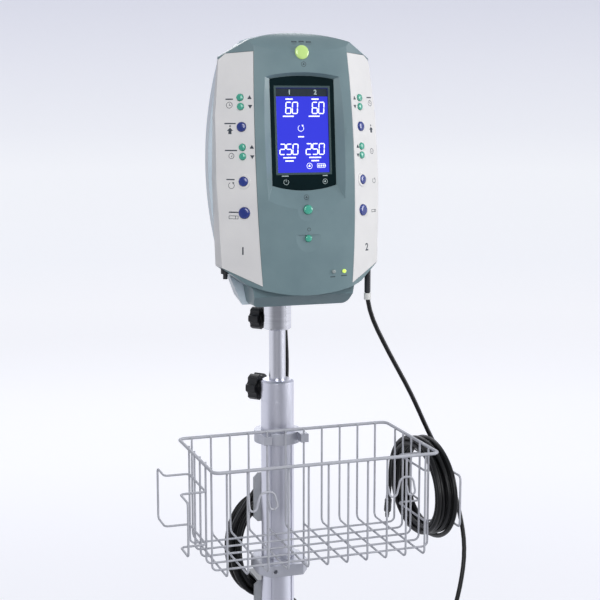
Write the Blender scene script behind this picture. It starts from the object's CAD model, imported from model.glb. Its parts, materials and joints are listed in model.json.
import bpy
import bmesh
import json
import math
from mathutils import Matrix, Vector


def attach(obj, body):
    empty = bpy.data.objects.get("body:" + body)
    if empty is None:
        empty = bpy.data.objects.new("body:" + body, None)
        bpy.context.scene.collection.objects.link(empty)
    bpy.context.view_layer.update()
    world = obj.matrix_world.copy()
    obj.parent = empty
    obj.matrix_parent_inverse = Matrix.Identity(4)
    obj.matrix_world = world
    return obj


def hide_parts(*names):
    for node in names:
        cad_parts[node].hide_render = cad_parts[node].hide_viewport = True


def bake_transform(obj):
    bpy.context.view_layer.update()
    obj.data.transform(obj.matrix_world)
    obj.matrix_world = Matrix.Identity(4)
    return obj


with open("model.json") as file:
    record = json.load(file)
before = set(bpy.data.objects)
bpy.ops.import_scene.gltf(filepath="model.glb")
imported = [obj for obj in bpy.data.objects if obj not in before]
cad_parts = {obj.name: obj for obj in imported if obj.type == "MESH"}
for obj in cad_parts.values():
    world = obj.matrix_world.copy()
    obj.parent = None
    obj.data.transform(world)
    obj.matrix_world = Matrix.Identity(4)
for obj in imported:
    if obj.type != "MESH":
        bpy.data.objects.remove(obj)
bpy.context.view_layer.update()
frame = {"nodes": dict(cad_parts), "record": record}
mm = 0.001
print("stage: frame loaded,", len(frame["nodes"]), "nodes")


def hexColour(text):  # sRGB as read on screen, turned to the linear values that the shader wants
    parts = [int(text[i:i + 2], 16) / 255 for i in (0, 2, 4)]
    linear = [p / 12.92 if p <= 0.04045 else ((p + 0.055) / 1.055) ** 2.4 for p in parts]
    return (*linear, 1.0)


def fillRamp(ramp, stops):  # stops of (place along the ramp, colour)
    for index, (at, text) in enumerate(stops):
        element = ramp.elements[index] if index < 2 else ramp.elements.new(at)
        element.position = at
        element.color = hexColour(text)


def addObject(name, data):
    piece = bpy.data.objects.new(name, data)
    bpy.context.scene.collection.objects.link(piece)
    return piece


# rings of vertices and the bands of faces between them, for all that is turned or printed

def ring(shape, radius, height, sides, matrix=Matrix()):
    turns = [2 * math.pi * side / sides for side in range(sides)]
    return [shape.verts.new(matrix @ Vector((radius * math.cos(turn), radius * math.sin(turn), height)))
            for turn in turns]


def bridge(shape, low, high, index=0):
    for side in range(len(low)):
        after = (side + 1) % len(low)
        shape.faces.new((low[side], low[after], high[after], high[side])).material_index = index


def capRings(shape, rings):  # a stack of rings closed into a solid
    for low, high in zip(rings, rings[1:]):
        bridge(shape, low, high)
    shape.faces.new(rings[0][::-1])
    shape.faces.new(rings[-1])


def meshOf(name, shape):
    bmesh.ops.recalc_face_normals(shape, faces=shape.faces)
    mesh = bpy.data.meshes.new(name)
    shape.to_mesh(mesh)
    shape.free()
    return mesh


# camera, floor and soft studio light

cameraSet = {"place": (-0.4848, -1.5019, 1.2356), "pitch": 81.65, "yaw": -18.89, "lens": 79.494,
             "sensor": 36.0, "clip": (0.05, 100.0)}
stageSet = {"floorColour": "A6A7AD", "floorRough": 0.9, "glow": 0.8, "reach": 15.0, "sides": 64,
            "rings": [(9.0, 0.0), (10.2, 0.25), (11.2, 1.0), (11.8, 2.2), (12.0, 12.0)],
            "tones": [(0.0, "D2D3D9"), (0.13, "DEDFE5"), (0.2, "ECEDF3"), (0.27, "F3F4FA"), (0.44, "F9FAFF"),
                      (0.6, "F7F9FF"), (0.76, "F8FAFF"), (0.88, "E8EAF4"), (0.95, "DDDFEC"), (1.0, "DADCE9")],
            "dimSide": (-0.31, -0.95, 0.0), "dimFrom": (0.26, 0.9), "dimTo": (1.0, 0.15),
            "worldColour": "F2F4FA", "worldStrength": 0.55}
lightSet = [
    {"name": "keyLight", "place": (-1.5, -3.4, 2.6), "aim": (0, 0, 0.95), "size": 2.4, "power": 88},
    {"name": "fillLight", "place": (3.6, -1.7, 1.9), "aim": (0, 0, 0.9), "size": 2.2, "power": 84},
    {"name": "rearLight", "place": (0.6, 3.4, 3.2), "aim": (0, 0, 0.9), "size": 2.8, "power": 46},
]


def makeCamera():
    data = bpy.data.cameras.new("photoCamera")
    data.lens = cameraSet["lens"]
    data.sensor_width = cameraSet["sensor"]
    data.clip_start, data.clip_end = cameraSet["clip"]
    camera = addObject("photoCamera", data)
    camera.location = cameraSet["place"]
    camera.rotation_euler = (math.radians(cameraSet["pitch"]), 0.0, math.radians(cameraSet["yaw"]))
    bpy.context.scene.camera = camera


def floorMesh():  # a floor that bends up into a backdrop on every side, so any view sees it
    shape = bmesh.new()
    sides = stageSet["sides"]
    rings = [ring(shape, radius, height, sides) for radius, height in stageSet["rings"]]
    centre = shape.verts.new((0, 0, 0))
    for side in range(sides):
        shape.faces.new((centre, rings[0][side], rings[0][(side + 1) % sides]))
    for low, high in zip(rings, rings[1:]):
        bridge(shape, high, low)
    mesh = bpy.data.meshes.new("studioFloor")
    shape.to_mesh(mesh)
    shape.free()
    mesh.shade_smooth()
    return mesh


def floorPaper():  # its glow is seen by the camera and in polished metal, and changes with the distance
    material = bpy.data.materials.new("studioPaper")
    material.use_nodes = True
    nodes, links = material.node_tree.nodes, material.node_tree.links

    def reckon(kind, operation, output, first, second=None):  # a sum of sockets or plain values
        node = nodes.new("ShaderNode" + kind)
        node.operation = operation
        for socket, given in zip(node.inputs, (first, second)):
            if isinstance(given, bpy.types.NodeSocket):
                links.new(given, socket)
            elif given is not None:
                socket.default_value = given
        return node.outputs[output]

    place = nodes.new("ShaderNodeTexCoord").outputs["Object"]
    split = nodes.new("ShaderNodeSeparateXYZ")
    links.new(place, split.inputs["Vector"])
    reach = reckon("VectorMath", "LENGTH", "Value", place)
    away = reckon("Math", "ADD", "Value", reach, split.outputs["Z"])
    share = reckon("Math", "DIVIDE", "Value", away, stageSet["reach"])
    tones = nodes.new("ShaderNodeValToRGB")
    fillRamp(tones.color_ramp, stageSet["tones"])
    links.new(share, tones.inputs["Fac"])
    level = reckon("VectorMath", "MULTIPLY", "Vector", place, (1, 1, 0))
    way = reckon("VectorMath", "NORMALIZE", "Vector", level)
    toward = reckon("VectorMath", "DOT_PRODUCT", "Value", way, stageSet["dimSide"])
    dim = nodes.new("ShaderNodeMapRange")  # polished metal sees a dim room on one side of the studio
    dim.inputs["From Min"].default_value, dim.inputs["From Max"].default_value = stageSet["dimFrom"]
    dim.inputs["To Min"].default_value, dim.inputs["To Max"].default_value = stageSet["dimTo"]
    links.new(toward, dim.inputs["Value"])
    rays = nodes.new("ShaderNodeLightPath")
    mirrored = reckon("Math", "MULTIPLY", "Value", rays.outputs["Is Glossy Ray"], dim.outputs["Result"])
    seen = reckon("Math", "MAXIMUM", "Value", rays.outputs["Is Camera Ray"], mirrored)
    shader = nodes["Principled BSDF"]
    shader.inputs["Base Color"].default_value = hexColour(stageSet["floorColour"])
    shader.inputs["Roughness"].default_value = stageSet["floorRough"]
    links.new(tones.outputs["Color"], shader.inputs["Emission Color"])
    links.new(reckon("Math", "MULTIPLY", "Value", seen, stageSet["glow"]), shader.inputs["Emission Strength"])
    return material


def makeFloor():
    floor = addObject("studioFloor", floorMesh())
    floor.data.materials.append(floorPaper())


def makeLights():
    world = bpy.data.worlds.new("studioWorld")
    bpy.context.scene.world = world
    world.use_nodes = True
    back = world.node_tree.nodes["Background"]
    back.inputs["Color"].default_value = hexColour(stageSet["worldColour"])
    back.inputs["Strength"].default_value = stageSet["worldStrength"]
    for lamp in lightSet:
        data = bpy.data.lights.new(lamp["name"], "AREA")
        data.shape = "DISK"
        data.size = lamp["size"]
        data.energy = lamp["power"]
        light = addObject(lamp["name"], data)
        light.location = lamp["place"]
        aim = Vector(lamp["aim"]) - Vector(lamp["place"])
        light.rotation_euler = aim.to_track_quat("-Z", "Y").to_euler()


bpy.context.scene.view_settings.view_transform = "Standard"
makeCamera()
makeFloor()
makeLights()
print("stage: camera, floor and lights")


# finishes: each has patches of tone, uneven gloss and a grain, all on Object coordinates

finishes = {  # darker and lighter tone, roughness from and to, the grain's scale and depth, what else it has
    "bodyGrey": ("6B8288", "758C91", 0.36, 0.46, 2400, 0.05, {"coat": 0.12}),
    "shellPale": ("C3D2DD", "CDDAE3", 0.36, 0.46, 2400, 0.05, {"coat": 0.12}),
    "panelWhite": ("E2E1E1", "EAE9E8", 0.34, 0.44, 2400, 0.05, {"coat": 0.15}),
    "bezelDark": ("04171A", "071D21", 0.26, 0.36, 300, 0.01, {"spec": 0.14}),
    "maskGrey": ("3C5052", "465A5B", 0.3, 0.4, 1500, 0.03, {}),
    "screenBlue": ("0B0B42", "0D0D4C", 0.3, 0.4, 900, 0.01,
                   {"spec": 0.14, "glow": "3B41E6", "strength": 0.9}),
    "screenInk": ("D8DCF5", "E2E6FA", 0.4, 0.5, 900, 0.01, {"glow": "E6EAFF", "strength": 0.9}),
    "lampGreen": ("A9CB70", "BBDB85", 0.14, 0.2, 500, 0.02,
                  {"coat": 0.6, "glow": "BEDC8C", "strength": 0.22}),
    "lampGrey": ("8F9A9A", "A0AAAA", 0.2, 0.3, 500, 0.02, {"coat": 0.5}),
    "capGreen": ("3FA58C", "50B59C", 0.16, 0.24, 1200, 0.02, {"coat": 0.6}),
    "capBlue": ("1C3080", "263C90", 0.16, 0.24, 1200, 0.02, {"coat": 0.6}),
    "markDark": ("2A3440", "333D49", 0.5, 0.6, 2500, 0.02, {}),
    "markGrey": ("3F4D53", "48575C", 0.5, 0.6, 2500, 0.02, {}),
    "markPale": ("AFC0C0", "BDCDCC", 0.5, 0.6, 2500, 0.02, {}),
    "fittingGrey": ("1E2024", "292B30", 0.35, 0.5, 1800, 0.05, {}),
    "boardGreen": ("1D5A35", "256A40", 0.4, 0.5, 900, 0.1, {}),
    "pumpBlack": ("1C1D20", "26272A", 0.4, 0.55, 1500, 0.08, {}),
    "valveGrey": ("85888D", "92959A", 0.35, 0.5, 1500, 0.06, {}),
    "batteryBlue": ("24395A", "2C4468", 0.3, 0.4, 700, 0.05, {}),
    "chrome": ("D6D7DE", "E6E7EC", 0.1, 0.2, 1800, 0.02, {"metal": 1.0, "stretch": (1, 1, 14)}),
    "tubeSatin": ("D3D4DC", "DFE0E6", 0.26, 0.32, 3000, 0.02, {"metal": 1.0, "stretch": (1, 1, 0.03)}),
    "columnSatin": ("D0D1DC", "DCDDE6", 0.34, 0.42, 3000, 0.03, {"metal": 1.0, "stretch": (1, 1, 0.03)}),
    "wireGrey": ("AFB1B9", "BDBFC7", 0.38, 0.5, 3200, 0.12, {}),
    "castGrey": ("B4B6C0", "C2C4CC", 0.36, 0.5, 1600, 0.12, {"metal": 0.6}),
    "castLight": ("BEC0C8", "CCCED4", 0.4, 0.52, 1400, 0.14, {"metal": 0.6}),
    "plateGrey": ("A6A9AE", "B3B6BA", 0.4, 0.5, 2600, 0.1, {}),
    "knobBlack": ("0C0D10", "16171B", 0.38, 0.52, 2200, 0.12, {}),
    "castorGrey": ("2C2F33", "383B40", 0.42, 0.55, 1800, 0.1, {}),
    "tyreGrey": ("3A3C40", "484A4E", 0.62, 0.78, 1500, 0.16, {}),
    "hubPale": ("8E9196", "9B9EA3", 0.4, 0.5, 1800, 0.08, {}),
    "steel": ("8F9197", "A2A4AA", 0.22, 0.34, 2600, 0.05, {"metal": 1.0}),
    "cordBlack": ("050608", "0B0C0F", 0.34, 0.48, 2400, 0.06, {"spec": 0.35}),
    "stripGrey": ("26303A", "2C3742", 0.2, 0.3, 900, 0.01, {}),
    "lampLit": ("B9DB5A", "C9E670", 0.14, 0.2, 500, 0.02, {"coat": 0.6, "glow": "C4E25C", "strength": 0.8}),
    "tagWhite": ("D9D9D6", "E4E4E1", 0.45, 0.6, 1500, 0.05, {}),
}
grainSet = {"patchScale": 26.0, "patchDetail": 4.0, "patchSpan": (0.3, 0.7), "grainDetail": 2.0,
            "bumpDistance": 0.0004, "edge": 0.5, "edgeSamples": 6, "coatRough": 0.12}
slotFinishes = {
    "console_grey": "bodyGrey", "console_pale": "shellPale", "panel_white": "panelWhite",
    "bezel_dark": "bezelDark", "lcd_blue": "screenBlue", "lens_green": "lampGreen",
    "button_green": "capGreen", "button_blue": "capBlue", "fitting_dark": "fittingGrey",
    "board_green": "boardGreen", "pump_black": "pumpBlack", "valve_grey": "valveGrey",
    "battery_blue": "batteryBlue", "collar_chrome": "chrome", "tube_silver": "tubeSatin",
    "column_silver": "columnSatin", "knob_black": "knobBlack", "wire_grey": "wireGrey",
    "clamp_grey": "castGrey", "hook_grey": "plateGrey", "base_silver": "castLight",
    "castor_grey": "castorGrey", "castor_tyre": "tyreGrey", "cord_black": "cordBlack",
}


def makeFinish(name):
    dark, light, smoothest, roughest, grainScale, grainBump, more = finishes[name]
    material = bpy.data.materials.new(name)
    material.use_nodes = True
    nodes, links = material.node_tree.nodes, material.node_tree.links
    shader = nodes["Principled BSDF"]
    place = nodes.new("ShaderNodeTexCoord")
    turn = nodes.new("ShaderNodeMapping")
    turn.inputs["Scale"].default_value = more.get("stretch", (1, 1, 1))
    links.new(place.outputs["Object"], turn.inputs["Vector"])
    patches, grain = nodes.new("ShaderNodeTexNoise"), nodes.new("ShaderNodeTexNoise")
    for noise, scale, detail in ((patches, grainSet["patchScale"], grainSet["patchDetail"]),
                                 (grain, grainScale, grainSet["grainDetail"])):
        noise.inputs["Scale"].default_value = scale
        noise.inputs["Detail"].default_value = detail
        links.new(turn.outputs["Vector"], noise.inputs["Vector"])
    tones = nodes.new("ShaderNodeValToRGB")
    fillRamp(tones.color_ramp, zip(grainSet["patchSpan"], (dark, light)))
    links.new(patches.outputs["Fac"], tones.inputs["Fac"])
    links.new(tones.outputs["Color"], shader.inputs["Base Color"])
    gloss = nodes.new("ShaderNodeMapRange")
    gloss.inputs["To Min"].default_value, gloss.inputs["To Max"].default_value = smoothest, roughest
    links.new(grain.outputs["Fac"], gloss.inputs["Value"])
    links.new(gloss.outputs["Result"], shader.inputs["Roughness"])
    edge = nodes.new("ShaderNodeBevel")
    edge.samples = grainSet["edgeSamples"]
    edge.inputs["Radius"].default_value = grainSet["edge"] * mm
    bump = nodes.new("ShaderNodeBump")
    bump.inputs["Strength"].default_value = grainBump
    bump.inputs["Distance"].default_value = grainSet["bumpDistance"]
    links.new(edge.outputs["Normal"], bump.inputs["Normal"])
    links.new(grain.outputs["Fac"], bump.inputs["Height"])
    links.new(bump.outputs["Normal"], shader.inputs["Normal"])
    shader.inputs["Metallic"].default_value = more.get("metal", 0.0)
    shader.inputs["Coat Weight"].default_value = more.get("coat", 0.0)
    shader.inputs["Coat Roughness"].default_value = grainSet["coatRough"]
    shader.inputs["Specular IOR Level"].default_value = more.get("spec", 0.5)
    if "glow" in more:
        shader.inputs["Emission Color"].default_value = hexColour(more["glow"])
        shader.inputs["Emission Strength"].default_value = more["strength"]
    return material


finish = {name: makeFinish(name) for name in finishes}
for row in frame["record"]["subparts"]:
    node, look = frame["nodes"][row["node"]], finish[slotFinishes[row["material_slot"]]]
    if not node.material_slots:
        node.data.materials.append(look)
    for materialSlot in node.material_slots:
        materialSlot.material = look
print("stage: finishes,", len(finish))


# cords: the mains cord wound behind the column, the hose from the right port and the spare hose, each with
# its route from the exit to the coil, the coil, and the tail behind it, in millimetres

mainsSet = {
    "radius": 3.3, "gaps": (1.2, 1.0), "runIn": 26.0,
    "route": [(18, 30, 985), (21, 30, 945), (22, 31, 900), (17, 32, 852), (10, 32.5, 812), (-4, 32.5, 778),
              (-26, 32, 752)],
    "tail": [(42, 52.6, 603), (50, 52.6, 572), (50.5, 52.6, 536)],
    "coil": {"middle": (-10.7, 31, 686), "across": (1, 0, 0), "up": (0, 0, 1), "outward": (0, 1, 0),
             "halfAcross": 39.3, "halfUp": 63.0, "startAngle": 180.0, "layers": (1.75, 1.75, 1.75, 2.0)},
}
hoseSet = {
    "radius": 2.75, "gaps": (0.6, 0.6), "runIn": 26.0,
    "route": [(86, -77, 1020), (86, -77, 1000), (111, -81.7, 948.5), (138.9, -87.1, 897.7),
              (161.9, -85.3, 849.1), (182.3, -101.2, 803.4), (191.9, -115.7, 754.3),
              (193.7, -128.4, 712.8), (181.6, -140.6, 668.6), (166, -143, 622), (160, -139, 560),
              (164, -134, 490), (172, -129, 425), (181, -126.5, 355), (187, -127.5, 285),
              (190.5, -128.5, 215), (192, -127.5, 150), (192.2, -126.5, 92), (192.6, -121, 46),
              (193.2, -106, 14)],
    "tail": [(195.5, 6, 6), (189, 30, 4.87), (179, 52, 4.85)],
    "coil": {"middle": (155, -50, 2.9), "across": (1, 0, 0), "up": (0, 1, 0), "outward": (0, 0, 1),
             "halfAcross": 39.0, "halfUp": 39.0, "startAngle": 0.0, "layers": (2.0, 2.0)},
}
spareSet = {
    "radius": 2.75, "gaps": (0.8, 0.6), "runIn": 34.0, "route": [], "tail": [],
    "coil": {"middle": (135.7, -108, 790.25), "across": (0, 1, 0), "up": (0, 0, 1), "outward": (1, 0, 0),
             "halfAcross": 73.3, "halfUp": 57.5, "startAngle": 0.0, "layers": (1.75, 1.5, 1.5, 2.0)},
}
cordSet = {"turnPoints": 24, "climb": 0.25, "resolution": 4, "bevelSteps": 3}


def coilState(turn, layers, pitch, step):  # how far in from the outer turn, how far out from the first layer
    begin, inward, climb = 0.0, 0.0, cordSet["climb"]
    for index, count in enumerate(layers):
        way = 1.0 if index % 2 == 0 else -1.0
        last = index == len(layers) - 1
        if turn <= begin + count or last:
            rise = index
            if index > 0 and turn < begin + climb:
                rise = index - 0.5 + (turn - begin) / (2 * climb)
            if not last and turn > begin + count - climb:
                rise = index + (turn - begin - count + climb) / (2 * climb)
            return inward + way * (turn - begin) * pitch, rise * step
        inward += way * count * pitch
        begin += count


def coilPoints(coil, radius, gaps):
    pitch, step = 2 * radius + gaps[0], 2 * radius + gaps[1]
    middle, across = Vector(coil["middle"]), Vector(coil["across"])
    up, outward = Vector(coil["up"]), Vector(coil["outward"])
    count = int(round(sum(coil["layers"]) * cordSet["turnPoints"]))
    swell = 1 / math.cos(math.pi / cordSet["turnPoints"]) ** 0.5  # the spline cuts inside its points
    points = []
    for index in range(count + 1):
        turn = index / cordSet["turnPoints"]
        angle = math.radians(coil["startAngle"]) + 2 * math.pi * turn
        offset, climb = coilState(turn, coil["layers"], pitch, step)
        grow = swell if 0 < index < count else 1.0
        points.append(middle + across * ((coil["halfAcross"] - offset) * math.cos(angle) * grow)
                      + up * ((coil["halfUp"] - offset) * math.sin(angle) * grow) + outward * climb)
    return points


def cordCurve(name, points):
    data = bpy.data.curves.new(name, "CURVE")
    data.dimensions = "3D"
    spline = data.splines.new("NURBS")
    spline.points.add(len(points) - 1)
    for point, place in zip(spline.points, points):
        point.co = (*(Vector(place) * mm), 1.0)
    spline.order_u = 3
    spline.use_endpoint_u = True
    data.resolution_u = cordSet["resolution"]
    return addObject(name, data)


def plainMesh(source, name):  # the evaluated object as a mesh of its own
    bpy.context.view_layer.update()
    graph = bpy.context.evaluated_depsgraph_get()
    mesh = bpy.data.meshes.new_from_object(source.evaluated_get(graph))
    mesh.name = name
    return mesh


def makeCord(name, cord):
    turns = coilPoints(cord["coil"], cord["radius"], cord["gaps"])
    before = turns[0] + (turns[0] - turns[1]).normalized() * cord["runIn"]
    after = turns[-1] + (turns[-1] - turns[-2]).normalized() * cord["runIn"]
    curve = cordCurve(name + "Line", [*cord["route"], before, *turns, after, *cord["tail"]])
    path = [tuple(v.co) for v in plainMesh(curve, name + "Path").vertices]
    curve.data.bevel_depth = cord["radius"] * mm
    curve.data.bevel_resolution = cordSet["bevelSteps"]
    curve.data.use_fill_caps = True
    mesh = plainMesh(curve, name)
    bpy.data.objects.remove(curve)
    mesh.materials.append(finish["cordBlack"])
    mesh.shade_smooth()
    length = sum((Vector(b) - Vector(a)).length for a, b in zip(path, path[1:]))
    print("cord", name, "length", round(length, 4))
    return addObject(name, mesh), path, length


# what the cords end in: turned pieces on the hoses, a moulded plug on the mains cord

connectorSet = {"profile": [(2.9, 0.0), (3.5, 0.6), (3.5, 5.4), (4.4, 6.0), (4.5, 8.0), (4.1, 9.0),
                            (4.5, 10.0), (4.1, 11.0), (4.5, 12.0), (4.1, 13.0), (4.5, 14.0), (4.5, 20.6),
                            (4.0, 22.0), (2.6, 22.2), (2.6, 25.0), (3.0, 25.6), (2.6, 27.0), (2.2, 29.9)],
                "sides": 40}
tagSet = {"profile": [(2.9, 0.0), (4.0, 0.0), (4.1, 0.6), (4.1, 7.0), (4.0, 7.6), (2.9, 7.6)], "sides": 32,
          "place": (86, -77, 1011.5)}
plugSet = {"width": 36.0, "depth": 26.0, "sides": 40, "squareness": 4,
           "outline": [(0.52, 0.0), (0.66, 1.4), (0.86, 7.0), (0.97, 14.0), (1.0, 22.0), (1.0, 31.5),
                       (0.96, 33.4), (0.9, 34.0)],  # share of the width and depth, height over the relief
           "relief": 26.0, "reliefSides": 28, "reliefEnds": (3.5, 6.6), "ribs": 6, "ribMargin": 1.5,
           "ribRadius": (3.9, 3.0),  # at its least, and how much it grows over the ribs
           "rib": [(0.0, 0.0), (0.0, 2.2), (-0.9, 2.6), (-0.9, 3.6)],
           "pinRadius": 2.4, "pinPitch": 19.0, "pinSides": 24,
           "pin": [(1.0, -1.0), (1.0, 17.6), (0.7, 18.6), (0.3, 19.0)]}


def turned(name, profile, sides, material, matrix=Matrix()):  # (radius, height) spun about Z and closed
    shape = bmesh.new()
    capRings(shape, [ring(shape, radius * mm, height * mm, sides) for radius, height in profile])
    shape.transform(matrix)
    return finished(name, meshOf(name, shape), material)


def finished(name, mesh, *materials, smoothAngle=40):
    for material in materials:
        mesh.materials.append(material)
    mesh.shade_smooth()
    mesh.set_sharp_from_angle(angle=math.radians(smoothAngle))
    return addObject(name, mesh)


def facing(place, way):  # a matrix at a place in millimetres whose Z points the given way
    turn = Vector(way).to_track_quat("Z", "Y").to_matrix().to_4x4()
    return Matrix.Translation(Vector(place) * mm) @ turn


def makeConnector(name, end, before):  # on the cord's end, pointing on from the point before it
    matrix = facing(Vector(end) / mm, Vector(end) - Vector(before))
    piece = turned(name, connectorSet["profile"], connectorSet["sides"], finish["fittingGrey"], matrix)
    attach(piece, "stand")
    return piece


def makePlug():
    end = Vector(mainsPath[-1]) / mm
    matrix = facing(end, (end - Vector(mainsPath[-2]) / mm))
    first, last = plugSet["reliefEnds"]
    ribLow, ribGrow = plugSet["ribRadius"]
    relief = [(first, 0.0)]
    for rib in range(plugSet["ribs"]):
        low = plugSet["ribMargin"] + rib * (plugSet["relief"] - 2 * plugSet["ribMargin"]) / plugSet["ribs"]
        radius = ribLow + ribGrow * (rib + 1) / plugSet["ribs"]
        relief += [(radius + out, low + up) for out, up in plugSet["rib"]]
    relief.append((last, plugSet["relief"]))
    pieces = [turned("mainsRelief", relief, plugSet["reliefSides"], finish["cordBlack"], matrix)]
    shape = bmesh.new()
    rings = []
    for share, height in plugSet["outline"]:
        loop = []
        for side in range(plugSet["sides"]):
            turn = 2 * math.pi * side / plugSet["sides"]
            cos, sin = math.cos(turn), math.sin(turn)
            grow = share / 2 * (abs(cos) ** plugSet["squareness"]
                                + abs(sin) ** plugSet["squareness"]) ** (-1 / plugSet["squareness"])
            place = Vector((plugSet["width"] * cos * grow, plugSet["depth"] * sin * grow,
                            plugSet["relief"] + height))
            loop.append(shape.verts.new(matrix @ (place * mm)))
        rings.append(loop)
    capRings(shape, rings)
    pieces.append(finished("mainsPlug", meshOf("mainsPlug", shape), finish["cordBlack"]))
    top = plugSet["relief"] + plugSet["outline"][-1][1]
    profile = [(plugSet["pinRadius"] * share, height) for share, height in plugSet["pin"]]
    for name, side in (("pinOne", -1), ("pinTwo", 1)):
        foot = Matrix.Translation(Vector((side * plugSet["pinPitch"] / 2, 0, top)) * mm)
        pieces.append(turned(name, profile, plugSet["pinSides"], finish["steel"], matrix @ foot))
    for piece in pieces:
        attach(piece, "stand")
    return pieces


mainsCord, mainsPath, mainsLength = makeCord("mainsCord", mainsSet)
plugPieces = makePlug()
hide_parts("cord_ends")
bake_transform(mainsCord)
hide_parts("mains_run", "mains_coil")

pressureHose, hosePath, hoseLength = makeCord("pressureHose", hoseSet)
hoseConnector = makeConnector("hoseConnector", hosePath[-1], hosePath[-2])
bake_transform(pressureHose)
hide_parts("hose_run", "hose_floor_coil")

spareHose, sparePath, spareLength = makeCord("spareHose", spareSet)
spareConnectors = [makeConnector("spareConnectorOne", sparePath[0], sparePath[1]),
                   makeConnector("spareConnectorTwo", sparePath[-1], sparePath[-2])]
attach(spareHose, "stand")
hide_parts("hose_hung_coil")
hoseTag = turned("hoseTag", tagSet["profile"], tagSet["sides"], finish["tagWhite"],
                 facing(tagSet["place"], (0, 0, 1)))
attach(hoseTag, "console")
print("stage: cords")


# places on the console's front: across and above its base, with X across, Y up the surface and Z out of it

frontSet = {"heights": (-12.0, 152.0, 322.0), "centre": (117.2, 110.2, 83.6), "wing": (147.6, 143.3, 114.3),
            "slope": 0.65, "bulgeY": 300.0, "baseZ": 1010.0, "bezelY": -101.2, "bezelHeight": 137.6,
            "lean": 5.2, "screenSink": -1.3, "stripLift": 0.08, "dishBall": 90.0}


def arcAt(reaches, height):
    (h0, r0), (h1, r1), (h2, r2) = zip(frontSet["heights"], reaches)
    turn = (h1 - h0) * (r2 - r0) - (r1 - r0) * (h2 - h0)
    squareOne = (h1 - h0) * (h1 + h0) + (r1 - r0) * (r1 + r0)
    squareTwo = (h2 - h0) * (h2 + h0) + (r2 - r0) * (r2 + r0)
    middleHeight = (squareOne * (r2 - r0) - squareTwo * (r1 - r0)) / (2 * turn)
    middleReach = (squareTwo * (h1 - h0) - squareOne * (h2 - h0)) / (2 * turn)
    radius = math.hypot(h0 - middleHeight, r0 - middleReach)
    rise = math.sqrt(radius ** 2 - (height - middleHeight) ** 2)
    return middleReach + rise, (height - middleHeight) / rise


def surfaceFrame(origin, across, out):
    across, out = Vector(across).normalized(), Vector(out).normalized()
    turn = Matrix((across, out.cross(across), out)).transposed().to_4x4()
    return Matrix.Translation(Vector(origin) * mm) @ turn


def wingFrame(x, height):
    reach, lean = arcAt(frontSet["wing"], height)
    slope = math.copysign(frontSet["slope"], x)
    return surfaceFrame((x, slope * x - reach, frontSet["baseZ"] + height), (1, slope, 0), (slope, -1, lean))


def centreFrame(x, height, sink=0.0):
    reach, lean = arcAt(frontSet["centre"], height)
    radius = frontSet["bulgeY"] + reach
    depth = math.sqrt(radius ** 2 - x ** 2)
    out = Vector((x / radius, -depth / radius, lean)).normalized()
    origin = Vector((x, frontSet["bulgeY"] - depth, frontSet["baseZ"] + height)) - out * sink
    return surfaceFrame(origin, (depth, x, 0), out)


def bezelFrame(x, up, lift=0.0):
    lean = math.radians(frontSet["lean"])
    out = Vector((0, -math.cos(lean), math.sin(lean)))
    origin = Vector((x, frontSet["bezelY"], frontSet["baseZ"] + frontSet["bezelHeight"]))
    origin = origin + Vector((0, math.sin(lean), math.cos(lean))) * up + out * lift
    return surfaceFrame(origin, (1, 0, 0), out)


def screenFrame(x, up):
    return bezelFrame(x, up, frontSet["screenSink"])


def stripFrame(x, up):
    return bezelFrame(x, up, frontSet["screenSink"] + frontSet["stripLift"])


# printed marks: thin slabs that stand a hair over the surface

inkSet = {"low": -0.12, "high": 0.06, "sides": 28, "stroke": 0.55, "bold": 0.22, "arrow": 4.2,
          "curveSteps": 4, "merge": 1e-7, "openRing": (0.34, 1.16), "openTip": 0.16}


def slab(shape, matrix, outline):
    capRings(shape, [[shape.verts.new(matrix @ (Vector((u, v, w)) * mm)) for u, v in outline]
                     for w in (inkSet["low"], inkSet["high"])])


def hoop(shape, matrix, outer, inner, start=0, stop=None):  # a band between two outlines, or a part of it
    count = len(outer)
    stop = count if stop is None else stop
    whole = stop - start == count
    picks = [index % count for index in range(start, stop + (0 if whole else 1))]
    loops = [[shape.verts.new(matrix @ (Vector((*outline[index], w)) * mm)) for index in picks]
             for outline, w in ((outer, inkSet["low"]), (outer, inkSet["high"]),
                                (inner, inkSet["high"]), (inner, inkSet["low"]))]
    spans = len(picks) if whole else len(picks) - 1
    for near, far in zip(loops, loops[1:] + loops[:1]):
        for index in range(spans):
            after = (index + 1) % len(picks)
            shape.faces.new((near[index], near[after], far[after], far[index]))
    if not whole:
        shape.faces.new([loop[0] for loop in loops])
        shape.faces.new([loop[-1] for loop in loops][::-1])


def disc(radius, x=0.0, y=0.0):
    turns = [2 * math.pi * side / inkSet["sides"] for side in range(inkSet["sides"])]
    return [(x + radius * math.cos(turn), y + radius * math.sin(turn)) for turn in turns]


def bar(width, height, x=0.0, y=0.0):
    return [(x - width / 2, y - height / 2), (x + width / 2, y - height / 2),
            (x + width / 2, y + height / 2), (x - width / 2, y + height / 2)]


def arrow(size, way, x=0.0, y=0.0):
    half, foot, tip = size * 0.6, y - way * size / 2, y + way * size / 2
    points = [(x - half, foot), (x + half, foot), (x, tip)]
    return points if way > 0 else points[::-1]


# numerals of the display: which of the seven bars each has, and where the bars run in a box of one by one

segments = {"0": "abcdef", "2": "abged", "5": "afgcd", "6": "afgedc"}
segmentEnds = {"a": ((0, 1), (1, 1)), "b": ((1, 1), (1, 0.5)), "c": ((1, 0.5), (1, 0)), "d": ((0, 0), (1, 0)),
               "e": ((0, 0.5), (0, 0)), "f": ((0, 1), (0, 0.5)), "g": ((0, 0.5), (1, 0.5))}
segmentSet = {"width": 0.78, "margin": 0.11, "thick": 0.16, "slant": 0.06, "gap": 0.12}


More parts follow.
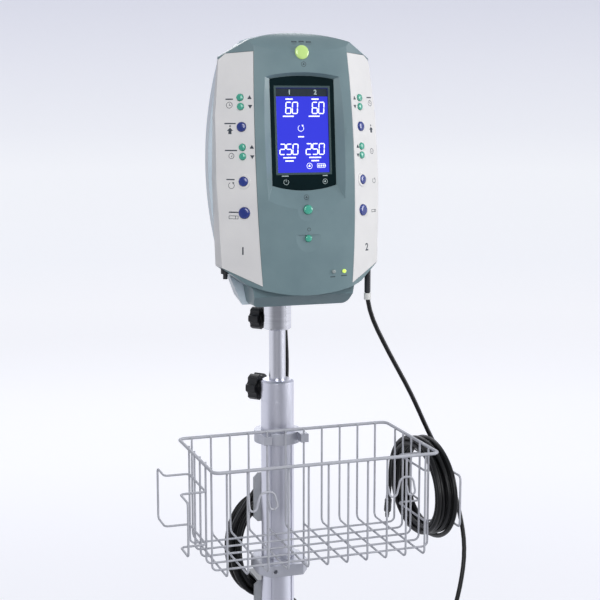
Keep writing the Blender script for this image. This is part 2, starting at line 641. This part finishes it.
def litNumber(shape, matrix, text, left, low, right, top):
    pitch, height = (right - left) / len(text), top - low
    width, thick = pitch * segmentSet["width"], pitch * segmentSet["thick"]
    for place, char in enumerate(text):
        x = left + place * pitch + pitch * segmentSet["margin"]
        for key in segments[char]:
            start, end = [Vector((x + u * width + v * height * segmentSet["slant"], low + v * height))
                          for u, v in segmentEnds[key]]
            way = (end - start).normalized() * thick
            side, cut, gap = Vector((-way.y, way.x)) / 2, way / 2, way * segmentSet["gap"]
            start, end = start + gap, end - gap
            slab(shape, matrix, [tuple(start), tuple(start + cut - side), tuple(end - cut - side), tuple(end),
                                 tuple(end - cut + side), tuple(start + cut + side)])


def numeral(shape, matrix, text, size):
    data = bpy.data.curves.new("numeral", "FONT")
    data.body = text
    data.size = size * mm
    data.align_x = "CENTER"
    data.align_y = "CENTER"
    data.extrude = inkSet["high"] * mm
    data.offset = inkSet["bold"] * mm
    data.resolution_u = inkSet["curveSteps"]
    letter = addObject("numeral", data)
    mesh = plainMesh(letter, "numeral")
    bpy.data.objects.remove(letter)
    mesh.transform(matrix)
    shape.from_mesh(mesh)
    bmesh.ops.remove_doubles(shape, verts=shape.verts, dist=inkSet["merge"])
    bpy.data.meshes.remove(mesh)


def inked(name, draw, look):
    shape = bmesh.new()
    draw(shape)
    mesh = meshOf(name, shape)
    mesh.materials.append(finish[look])
    piece = addObject(name, mesh)
    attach(piece, "console")


# signs of a kind seen on many devices, each drawn about its own middle

def circle(shape, matrix, size, span=(0, 1)):
    start, stop = [int(inkSet["sides"] * share) for share in span]
    hoop(shape, matrix, disc(size), disc(size - inkSet["stroke"]), start, stop)


def clockSign(shape, matrix, size):
    circle(shape, matrix, size)
    slab(shape, matrix, bar(inkSet["stroke"], size * 0.62, 0, size * 0.24))
    slab(shape, matrix, bar(size * 0.5, inkSet["stroke"], size * 0.22, -inkSet["stroke"] / 2))


def turnSign(shape, matrix, size):
    circle(shape, matrix, size, inkSet["openRing"])
    tip = disc(size - inkSet["stroke"] / 2)[int(inkSet["sides"] * inkSet["openTip"])]
    slab(shape, matrix, arrow(size * 0.6, -1, *tip))


def gaugeSign(shape, matrix, size):
    circle(shape, matrix, size)
    slab(shape, matrix, [(-inkSet["stroke"], -size * 0.25), (inkSet["stroke"] * 0.2, -size * 0.5),
                         (size * 0.42, size * 0.45)])


def cuffSign(shape, matrix, size):
    length = 2.9 * size
    hoop(shape, matrix, bar(length, size), bar(length - 2 * inkSet["stroke"], size - 2 * inkSet["stroke"]))
    slab(shape, matrix, bar(inkSet["stroke"], size, 0.6 * size))


def liftSign(shape, matrix, size):  # a broad arrow upwards with a dot over it
    slab(shape, matrix, [(-size * 0.5, -size), (size * 0.5, -size), (size * 0.5, 0), (size, 0), (0, size),
                         (-size, 0), (-size * 0.5, 0)])
    slab(shape, matrix, bar(size * 0.5, size * 0.4, 0, size * 1.45))


def bellSign(shape, matrix, size):
    circle(shape, matrix, size)
    half = size * 0.42
    slab(shape, matrix, [(-half, -half * 0.7), (half, -half * 0.7), (half * 0.62, half * 0.1),
                         (half * 0.4, half), (-half * 0.4, half), (-half * 0.62, half * 0.1)])


def powerSign(shape, matrix, size):
    circle(shape, matrix, size, inkSet["openRing"])
    slab(shape, matrix, bar(inkSet["stroke"], size, 0, size * 0.6))


def batterySign(shape, matrix, size):  # a case with three cells and a cap at its end
    hoop(shape, matrix, bar(9.4 * size, 4.8 * size), bar(8.4 * size, 3.8 * size))
    for x in (-2.6, 0.0, 2.6):
        slab(shape, matrix, bar(1.5 * size, 2.2 * size, x * size))
    slab(shape, matrix, bar(0.8 * size, 2.0 * size, 5.2 * size))


# what is printed where: bars (x, height, width, thick), arrows (x, height, way), signs (sign, x, height,
# size), numerals (text, x, height, size) and the display's numbers (text, left, low, right, top)

screenSet = {"half": 30.3, "low": 14.3, "top": 107.7, "strip": 98.5, "frame": 2.6, "frameLap": 0.3}
leftMarks = {
    "bars": [(-80.8, 232.5, 8.5, 1.3), (-81.1, 206.0, 13.0, 1.3), (-81.3, 176.6, 14.0, 1.3),
             (-82.8, 144.8, 9.5, 1.3), (-80.7, 108.9, 11.0, 1.3)],
    "arrows": [(-61.1, 234.7, 1), (-61.1, 224.2, -1), (-61.1, 180.8, 1), (-61.1, 169.5, -1)],
    "signs": [(clockSign, -81.0, 226.0, 3.6), (liftSign, -81.5, 198.0, 3.6), (gaugeSign, -81.1, 170.6, 3.2),
              (turnSign, -82.1, 138.2, 3.6), (cuffSign, -80.8, 103.3, 3.8)],
    "numerals": [("1", -72.4, 65.9, 12.0)],
}
rightMarks = {
    "bars": [(85.9, 234.6, 8.5, 1.3)],
    "arrows": [(62.6, 234.3, 1), (62.7, 224.2, -1), (64.4, 180.5, 1), (64.4, 169.9, -1)],
    "signs": [(clockSign, 87.3, 228.2, 3.4), (liftSign, 87.3, 198.4, 3.4), (gaugeSign, 87.1, 174.0, 3.2),
              (turnSign, 89.3, 140.5, 2.9), (cuffSign, 87.9, 106.2, 2.9)],
    "numerals": [("2", 76.1, 65.2, 12.0)],
}
bandMarks = {
    "bars": [(-8.5, 295.5, 6.0, 1.5), (0.0, 295.8, 6.0, 1.5), (8.5, 295.5, 6.0, 1.5), (28.4, 35.2, 6.0, 1.2),
             (42.4, 36.0, 7.0, 1.2)],
    "signs": [(bellSign, 1.3, 271.0, 2.9), (bellSign, -1.8, 125.0, 2.9), (powerSign, 0.5, 89.4, 2.2)],
}
screenMarks = {
    "numbers": [("60", -20.2, 79.7, -4.9, 92.1), ("60", 10.8, 79.6, 26.3, 92.1),
                ("250", -28.4, 34.4, -5.7, 45.8), ("250", 2.3, 34.2, 25.4, 46.1)],
    "bars": [(-14.9, 95.6, 8.5, 1.4), (15.6, 95.6, 8.6, 1.4), (-16.4, 76.6, 12.7, 1.4),
             (14.0, 76.6, 12.9, 1.4), (-2.1, 53.9, 7.0, 1.4), (-16.3, 30.8, 14.9, 1.4),
             (13.8, 30.8, 14.1, 1.4), (-16.5, 27.2, 9.8, 1.4), (13.8, 27.2, 9.1, 1.4)],
    "signs": [(turnSign, -2.1, 63.3, 3.6), (bellSign, 6.9, 21.4, 3.4), (batterySign, 20.7, 21.6, 1.0)],
}
stripMarks = {"bars": [(0, (screenSet["strip"] + screenSet["top"]) / 2, 2 * screenSet["half"],
                        screenSet["top"] - screenSet["strip"])]}
stripNumerals = {"numerals": [("1", -14.5, 103.0, 7.5), ("2", 16.0, 103.0, 7.5)]}
bezelMarks = {"bars": [(-22.5, 10.4, 8.1, 1.1), (24.6, 10.4, 5.8, 1.1)],
              "signs": [(powerSign, -21.5, 3.7, 3.2), (bellSign, 24.5, 3.9, 3.0)]}


def printer(marks, surface):  # surface gives the frame at a place
    def draw(shape):
        for number in marks.get("numbers", []):
            litNumber(shape, surface(0, 0), *number)
        for x, height, width, thick in marks.get("bars", []):
            slab(shape, surface(x, height), bar(width, thick))
        for x, height, way in marks.get("arrows", []):
            slab(shape, surface(x, height), arrow(inkSet["arrow"], way))
        for sign, x, height, size in marks.get("signs", []):
            sign(shape, surface(x, height), size)
        for text, x, height, size in marks.get("numerals", []):
            numeral(shape, surface(x, height), text, size)
    return draw


def drawFrame(shape):
    wide, high = 2 * screenSet["half"], screenSet["top"] - screenSet["low"]
    band, lap = 2 * screenSet["frame"], 2 * screenSet["frameLap"]
    hoop(shape, bezelFrame(0, (screenSet["low"] + screenSet["top"]) / 2), bar(wide + band, high + band),
         bar(wide + lap, high + lap))


inked("leftPanelMarks", printer(leftMarks, wingFrame), "markDark")
inked("rightPanelMarks", printer(rightMarks, wingFrame), "markDark")
inked("bandMarks", printer(bandMarks, centreFrame), "markGrey")
inked("screenInk", printer(screenMarks, screenFrame), "screenInk")
inked("screenStrip", printer(stripMarks, screenFrame), "stripGrey")
inked("stripNumerals", printer(stripNumerals, stripFrame), "markPale")
inked("screenFrame", drawFrame, "maskGrey")
inked("bezelMarks", printer(bezelMarks, bezelFrame), "markPale")
print("stage: marks and screen")


# buttons and lenses: domed caps turned about the line that they move along

buttonSet = {"column": 70.3, "sides": 40, "blue": ("check", "inflate", "deflate"),
             "places": [("time_up", 234.4, 3.9), ("time_down", 224.4, 3.9), ("check", 202.3, 5.3),
                        ("pressure_up", 180.1, 3.9), ("pressure_down", 170.1, 3.9), ("inflate", 142.7, 5.3),
                        ("deflate", 108.3, 6.4)],
             "centre": [("mute", 111.2, 5.2, (10.7, 8.1)), ("power", 79.2, 3.9, (15.5, 3.9))],
             "profile": [(1.0, -4.2), (1.0, 1.0), (0.985, 1.35), (0.93, 1.72), (0.83, 2.0), (0.68, 2.2),
                         (0.48, 2.33), (0.26, 2.4), (0.08, 2.42)]}
lensSet = {"sides": 48, "small": 5.0, "smallLift": 1.2, "smallRise": 0.3,
           "places": [("lampLens", 0.0, 284.0, 7.9, "lampGreen"), ("leftLens", 29.3, 41.0, 2.2, "lampGrey"),
                      ("rightLens", 42.4, 41.0, 2.2, "lampLit")],
           "profile": [(1.0, -4.0), (1.0, 0.9), (0.975, 1.3), (0.9, 1.75), (0.76, 2.1), (0.56, 2.35),
                       (0.32, 2.48), (0.1, 2.52)]}


def makeButton(name, matrix, radius, look):
    profile = [(radius * share, height) for share, height in buttonSet["profile"]]
    piece = turned(name + "Cap", profile, buttonSet["sides"], finish[look], matrix)
    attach(piece, name)
    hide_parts(name)


for side, sign in (("left", -1), ("right", 1)):
    for name, height, radius in buttonSet["places"]:
        look = "capBlue" if name in buttonSet["blue"] else "capGreen"
        makeButton(side + "_" + name + "_button", wingFrame(sign * buttonSet["column"], height), radius, look)
for name, height, radius, notch in buttonSet["centre"]:
    ball = frontSet["dishBall"]
    sink = ball - math.sqrt(ball ** 2 - notch[0] ** 2 - notch[1] ** 2)
    makeButton(name + "_button", centreFrame(0.0, height, sink), radius, "capGreen")
for name, x, height, radius, look in lensSet["places"]:
    profile = [(radius * share, lift) for share, lift in lensSet["profile"]]
    if radius < lensSet["small"]:  # a small lens stands lower
        profile = [(reach, min(lift, lensSet["smallLift"] + lensSet["smallRise"] * lift))
                   for reach, lift in profile]
    lens = turned(name, profile, lensSet["sides"], finish[look], centreFrame(x, height))
    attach(lens, "console")
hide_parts("indicator_lenses")
print("stage: buttons and lenses")


# bent wires of the basket, its cleats and hooks: polylines rounded and thickened by one node group

basketSet = {"width": 261.4, "depth": 156.8, "height": 117.3, "rimZ": 850.0, "backGap": 28.5, "rim": 1.9,
             "wire": 1.2, "cleat": 1.25, "hook": 1.2, "count": 11, "margin": 15.1, "ends": 5,
             "endMargin": 22.0, "endPitch": 24.3, "clampTop": 684.5, "cleatOut": 28.0,
             "cleatYs": (-149.2, -73.3), "cleatTip": 34.0, "cleatDrops": (30.0, 89.5), "rimBend": 8.0,
             "wireBend": 6.0, "cleatBend": 5.0, "hookBend": 7.5, "bendSteps": 6, "sides": 14}
hookLines = [[(-92.5, -29), (-91, -46), (-84, -46), (-78.5, -26), (-63.5, -26), (-58.5, -46), (-68, -46),
              (-69.5, -36)],  # across and down from the rim
             [(69, -33), (72, -45.5), (79.5, -45.5), (84.5, -24), (99, -24), (103, -45), (94, -45.5),
              (92, -34)]]


def wireTree():
    tree = bpy.data.node_groups.new("bentWire", "GeometryNodeTree")
    tree.interface.new_socket("Lines", in_out="INPUT", socket_type="NodeSocketGeometry")
    sockets = {}
    for label, kind in (("Wire Radius", "NodeSocketFloat"), ("Bend Radius", "NodeSocketFloat"),
                        ("Sides", "NodeSocketInt"), ("Finish", "NodeSocketMaterial")):
        sockets[label] = tree.interface.new_socket(label, in_out="INPUT", socket_type=kind).identifier
    tree.interface.new_socket("Wires", in_out="OUTPUT", socket_type="NodeSocketGeometry")
    nodes, links = tree.nodes, tree.links
    given = nodes.new("NodeGroupInput")
    lines = nodes.new("GeometryNodeMeshToCurve")
    bend = nodes.new("GeometryNodeFilletCurve")
    bend.mode = "POLY"
    bend.inputs["Count"].default_value = basketSet["bendSteps"]
    bend.inputs["Limit Radius"].default_value = True
    section = nodes.new("GeometryNodeCurvePrimitiveCircle")
    thick = nodes.new("GeometryNodeCurveToMesh")
    thick.inputs["Fill Caps"].default_value = True
    smooth = nodes.new("GeometryNodeSetShadeSmooth")
    real = nodes.new("GeometryNodeRealizeInstances")
    paint = nodes.new("GeometryNodeSetMaterial")
    result = nodes.new("NodeGroupOutput")
    links.new(given.outputs["Lines"], lines.inputs["Mesh"])
    links.new(lines.outputs["Curve"], bend.inputs["Curve"])
    links.new(given.outputs["Bend Radius"], bend.inputs["Radius"])
    links.new(given.outputs["Sides"], section.inputs["Resolution"])
    links.new(given.outputs["Wire Radius"], section.inputs["Radius"])
    links.new(bend.outputs["Curve"], thick.inputs["Curve"])
    links.new(section.outputs["Curve"], thick.inputs["Profile Curve"])
    links.new(thick.outputs["Mesh"], smooth.inputs["Geometry"])
    links.new(smooth.outputs["Geometry"], real.inputs["Geometry"])
    links.new(real.outputs["Geometry"], paint.inputs["Geometry"])
    links.new(given.outputs["Finish"], paint.inputs["Material"])
    links.new(paint.outputs["Geometry"], result.inputs["Wires"])
    return tree, sockets


bentWire, wireSockets = wireTree()


def makeWires(name, lines, radius, bend, closed, replaced):
    points, edges = [], []
    for line in lines:
        first = len(points)
        points.extend(Vector(point) * mm for point in line)
        edges.extend((first + index, first + index + 1) for index in range(len(line) - 1))
        if closed:
            edges.append((len(points) - 1, first))
    mesh = bpy.data.meshes.new(name + "Lines")
    mesh.from_pydata(points, edges, [])
    holder = addObject(name + "Lines", mesh)
    modifier = holder.modifiers.new("bentWire", "NODES")
    modifier.node_group = bentWire
    modifier[wireSockets["Wire Radius"]] = radius * mm
    modifier[wireSockets["Bend Radius"]] = bend * mm
    modifier[wireSockets["Sides"]] = basketSet["sides"]
    modifier[wireSockets["Finish"]] = finish["wireGrey"]
    solid = plainMesh(holder, name)
    bpy.data.objects.remove(holder)
    piece = addObject(name, solid)
    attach(piece, "stand")
    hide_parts(*replaced)


def makeBasket():
    half = basketSet["width"] / 2
    back = -basketSet["backGap"]
    front = back - basketSet["depth"]
    rimZ, wireR, rimR = basketSet["rimZ"], basketSet["wire"], basketSet["rim"]
    floorZ = rimZ - basketSet["height"]
    rim = [(-half, front, rimZ), (half, front, rimZ), (half, back, rimZ), (-half, back, rimZ)]
    makeWires("basketRim", [rim], rimR, basketSet["rimBend"], True, ["basket_rim"])
    inset = rimR + wireR
    topZ = rimZ + rimR - wireR
    frontY, backY = front + inset, back - inset
    lines = []
    for index in range(basketSet["count"]):
        x = (half - basketSet["margin"]) * (2 * index / (basketSet["count"] - 1) - 1)
        if abs(index - basketSet["count"] // 2) == 1:  # the two beside the middle end on the lower clamp
            lines.append([(x, frontY, topZ), (x, frontY, floorZ), (x, backY - wireR, floorZ)])
            lines.append([(x, backY, basketSet["clampTop"]), (x, backY, topZ)])
        else:
            lines.append([(x, frontY, topZ), (x, frontY, floorZ), (x, backY, floorZ), (x, backY, topZ)])
    endX, endZ = half - inset, floorZ + 2 * wireR
    for index in range(basketSet["ends"]):
        y = front + basketSet["endMargin"] + index * basketSet["endPitch"]
        lines.append([(-endX, y, topZ), (-endX, y, endZ), (endX, y, endZ), (endX, y, topZ)])
    makeWires("basketWires", lines, wireR, basketSet["wireBend"], False,
              ["basket_front_wires", "basket_back_wires", "basket_end_wires", "basket_floor_wires"])
    cleats = []
    lowY, highY = basketSet["cleatYs"]
    tip = basketSet["cleatTip"]
    for side in (-1, 1):
        near = side * (half - rimR + basketSet["cleat"])
        out = side * (half + basketSet["cleatOut"])
        line = []
        for drop, order in zip(basketSet["cleatDrops"], (1, -1)):
            z = rimZ - drop
            level = [(out, lowY - tip, z), (out, lowY, z), (near, lowY, z), (near, highY, z), (out, highY, z),
                     (out, highY + tip, z)]
            line.extend(level[::order])
        cleats.append(line)
    makeWires("basketCleats", cleats, basketSet["cleat"], basketSet["cleatBend"], True, ["basket_wire_hooks"])
    hookY = front + rimR - basketSet["hook"]
    hooks = [[(x, hookY, rimZ + drop) for x, drop in line] for line in hookLines]
    makeWires("basketHooks", hooks, basketSet["hook"], basketSet["hookBend"], False, [])


makeBasket()
print("stage: basket")


# castor wheels: a soft tread on a dished hub, two on each axle

wheelSet = {"circle": 262.0, "trail": 22.0, "radius": 32.0, "firstLeg": 90.0, "legPitch": 72.0,
            "turns": (25.0, -50.0, 160.0, 80.0, -130.0), "sides": 56, "smoothAngle": 32,
            "tyre": [(23.0, 6.7), (29.0, 6.7), (30.9, 7.3), (31.8, 8.8), (32.0, 10.6), (32.0, 17.4),
                     (31.8, 19.2), (30.9, 20.7), (29.0, 21.3), (23.0, 21.3)],
            "hub": [(4.2, 7.0), (23.2, 7.0), (23.2, 20.6), (21.6, 20.6), (20.2, 18.2), (10.4, 17.4),
                    (9.4, 20.9), (8.2, 21.4), (4.2, 21.4)]}


def spin(shape, profile, matrix, index):  # a closed profile of (radius, height) turned into a hollow ring
    rings = [ring(shape, radius * mm, height * mm, wheelSet["sides"], matrix) for radius, height in profile]
    for low, high in zip(rings, rings[1:] + rings[:1]):
        bridge(shape, low, high, index)


def makeWheels(index):
    angle = math.radians(wheelSet["firstLeg"] + wheelSet["legPitch"] * index)
    place = (Matrix.Rotation(angle, 4, "Z") @ Matrix.Translation((wheelSet["circle"] * mm, 0, 0))
             @ Matrix.Rotation(math.radians(wheelSet["turns"][index]), 4, "Z")
             @ Matrix.Translation((-wheelSet["trail"] * mm, 0, wheelSet["radius"] * mm))
             @ Matrix.Rotation(math.radians(90), 4, "X"))
    shape = bmesh.new()
    for side in (0, 1):
        flip = place @ Matrix.Rotation(math.pi * side, 4, "X")
        spin(shape, wheelSet["tyre"], flip, 0)
        spin(shape, wheelSet["hub"], flip, 1)
    name, label = "castor_" + str(index + 1) + "_wheels", "castorWheels" + str(index + 1)
    piece = finished(label, meshOf(label, shape), finish["tyreGrey"], finish["hubPale"],
                     smoothAngle=wheelSet["smoothAngle"])
    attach(piece, name)
    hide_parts(name)


for index in range(len(wheelSet["turns"])):
    makeWheels(index)
print("stage: castor wheels")
